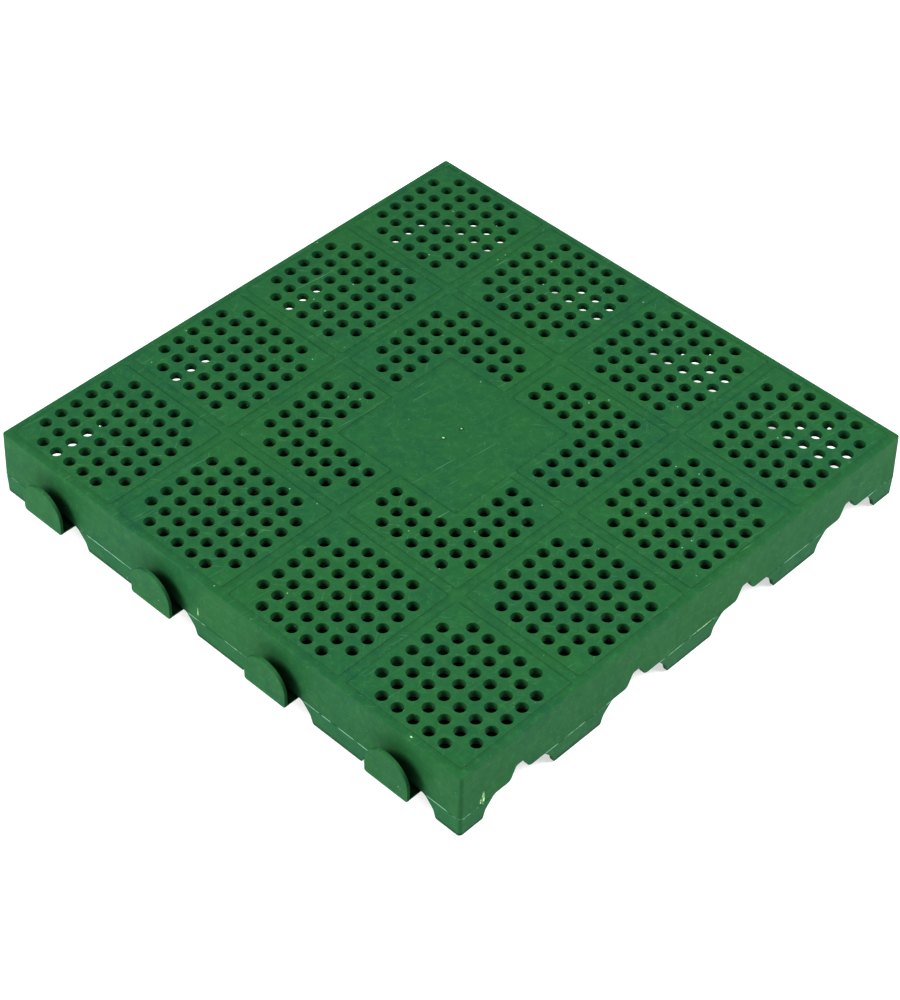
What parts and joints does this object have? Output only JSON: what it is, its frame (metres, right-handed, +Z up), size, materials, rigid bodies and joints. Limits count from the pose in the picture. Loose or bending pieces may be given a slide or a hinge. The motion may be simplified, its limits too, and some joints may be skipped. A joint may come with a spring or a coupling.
{
  "type": "plastic deck tile",
  "caption": "Square green moulded plastic deck tile with a perforated top, an arched skirt, and hooks on one side that fit under the next tile.",
  "frame": {"origin": "on the floor under the middle of the tile, on the underside of the middle foot", "axes": "+Z up through the deck; hooks face -Y, sockets face +Y and +X"},
  "size_m": [0.4, 0.41, 0.05],
  "materials": {
    "tile_plastic": "moulded polypropylene, lightly scuffed"
  },
  "bodies": {
    "root": {"deck_tile": "tile_plastic"}
  },
  "joints": []
}
